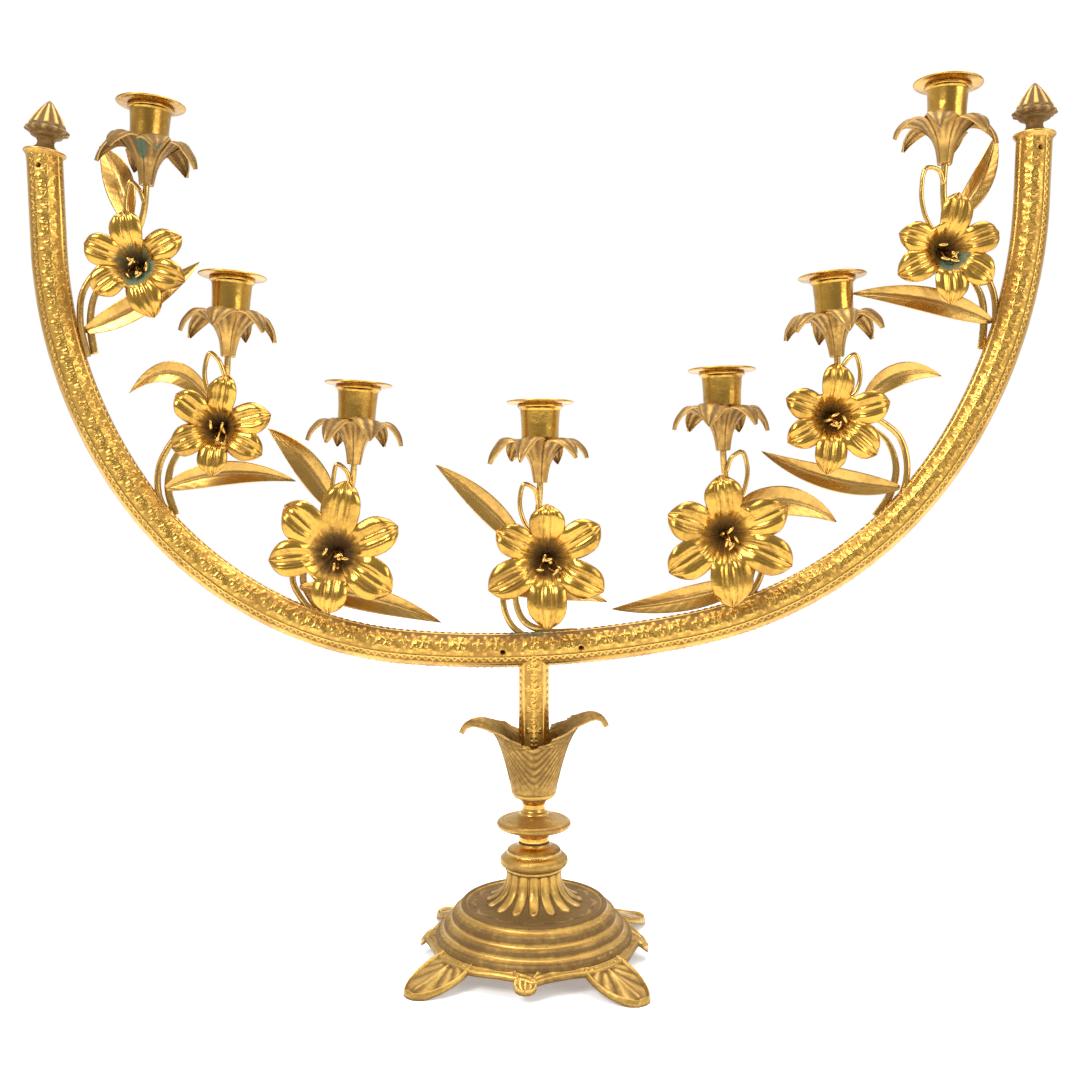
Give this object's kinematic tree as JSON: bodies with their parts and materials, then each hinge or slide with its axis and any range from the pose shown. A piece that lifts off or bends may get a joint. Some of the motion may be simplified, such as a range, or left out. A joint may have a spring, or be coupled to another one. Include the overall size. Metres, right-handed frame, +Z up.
{
  "type": "candelabrum",
  "caption": "Gilt brass table candelabrum: a wide U-shaped bow on a turned stem and domed foot carries lily branches with candle sockets.",
  "frame": {"origin": "where the stem's axis meets the surface that the feet stand on", "axes": "+X along the bow, towards the higher arm; +Z up; -Y the front, where the lilies face"},
  "size_m": [0.6711, 0.1566, 0.5679],
  "materials": {
    "stamped_gilt": "stamped and gilt, rubbed, with brown patina in the hollows",
    "cast_gilt": "cast and gilt, matte brown-gold patina with bright worn edges",
    "turned_gilt": "turned and gilt, satin, darker in the grooves",
    "polished_gilt": "polished gilt with light tarnish",
    "satin_gilt": "satin gilt with tarnish and a little green verdigris",
    "wire_gilt": "drawn wire, gilt, lightly tarnished",
    "plain_steel": "plain steel, dull"
  },
  "bodies": {
    "stand": {"foot_casting": "cast_gilt", "fluted_bell": "cast_gilt", "knop_disc": "turned_gilt", "acanthus_cup": "cast_gilt", "tie_rod": "plain_steel", "foot_washer": "plain_steel", "foot_nut": "plain_steel"},
    "bow": {"bow_tube": "stamped_gilt", "stem_tube": "stamped_gilt", "stem_plug": "turned_gilt", "stem_saddle": "turned_gilt", "end_cap_left": "turned_gilt", "end_cap_right": "turned_gilt", "branch_stem_1": "wire_gilt", "flower_stem_1": "wire_gilt", "calyx_1": "satin_gilt", "lily_1": "polished_gilt", "leaves_1": "satin_gilt", "branch_stem_2": "wire_gilt", "flower_stem_2": "wire_gilt", "calyx_2": "satin_gilt", "lily_2": "polished_gilt", "leaves_2": "satin_gilt", "branch_stem_3": "wire_gilt", "flower_stem_3": "wire_gilt", "calyx_3": "satin_gilt", "lily_3": "polished_gilt", "leaves_3": "satin_gilt", "branch_stem_4": "wire_gilt", "flower_stem_4": "wire_gilt", "calyx_4": "satin_gilt", "lily_4": "polished_gilt", "leaves_4": "satin_gilt", "branch_stem_5": "wire_gilt", "flower_stem_5": "wire_gilt", "calyx_5": "satin_gilt", "lily_5": "polished_gilt", "leaves_5": "satin_gilt", "branch_stem_6": "wire_gilt", "flower_stem_6": "wire_gilt", "calyx_6": "satin_gilt", "lily_6": "polished_gilt", "leaves_6": "satin_gilt", "branch_stem_7": "wire_gilt", "flower_stem_7": "wire_gilt", "calyx_7": "satin_gilt", "lily_7": "polished_gilt", "leaves_7": "satin_gilt", "stamen_bunches": "wire_gilt"},
    "socket_1": {"candle_socket_1": "polished_gilt"},
    "socket_2": {"candle_socket_2": "polished_gilt"},
    "socket_3": {"candle_socket_3": "polished_gilt"},
    "socket_4": {"candle_socket_4": "polished_gilt"},
    "socket_5": {"candle_socket_5": "polished_gilt"},
    "socket_6": {"candle_socket_6": "polished_gilt"},
    "socket_7": {"candle_socket_7": "polished_gilt"},
    "finial_left": {"finial_left": "turned_gilt"},
    "finial_right": {"finial_right": "turned_gilt"}
  },
  "joints": [
    {"name": "bow_turn", "type": "hinge", "parent": "stand", "child": "bow", "pos_m": [0, 0, 0.11], "axis": [0, 0, 1], "continuous": true},
    {"name": "socket_turn_1", "type": "hinge", "parent": "bow", "child": "socket_1", "pos_m": [-0.252, 0, 0.5005], "axis": [0.0576, 0, 0.9983], "continuous": true},
    {"name": "socket_turn_2", "type": "hinge", "parent": "bow", "child": "socket_2", "pos_m": [-0.199, 0, 0.389], "axis": [0.0576, 0, 0.9983], "continuous": true},
    {"name": "socket_turn_3", "type": "hinge", "parent": "bow", "child": "socket_3", "pos_m": [-0.117, 0, 0.319], "axis": [0.0576, 0, 0.9983], "continuous": true},
    {"name": "socket_turn_4", "type": "hinge", "parent": "bow", "child": "socket_4", "pos_m": [0.004, 0, 0.307], "axis": [0, 0, 1], "continuous": true},
    {"name": "socket_turn_5", "type": "hinge", "parent": "bow", "child": "socket_5", "pos_m": [0.123, 0, 0.328], "axis": [-0.0192, 0, 0.9998], "continuous": true},
    {"name": "socket_turn_6", "type": "hinge", "parent": "bow", "child": "socket_6", "pos_m": [0.197, 0, 0.389], "axis": [-0.0576, 0, 0.9983], "continuous": true},
    {"name": "socket_turn_7", "type": "hinge", "parent": "bow", "child": "socket_7", "pos_m": [0.267, 0, 0.514], "axis": [0.0436, 0, 0.999], "continuous": true},
    {"name": "finial_turn_left", "type": "hinge", "parent": "bow", "child": "finial_left", "pos_m": [-0.31824, 0, 0.52016], "axis": [0.1045, 0, 0.9945], "continuous": true},
    {"name": "finial_turn_right", "type": "hinge", "parent": "bow", "child": "finial_right", "pos_m": [0.32534, 0, 0.53167], "axis": [0.0087, 0, 1], "continuous": true}
  ]
}
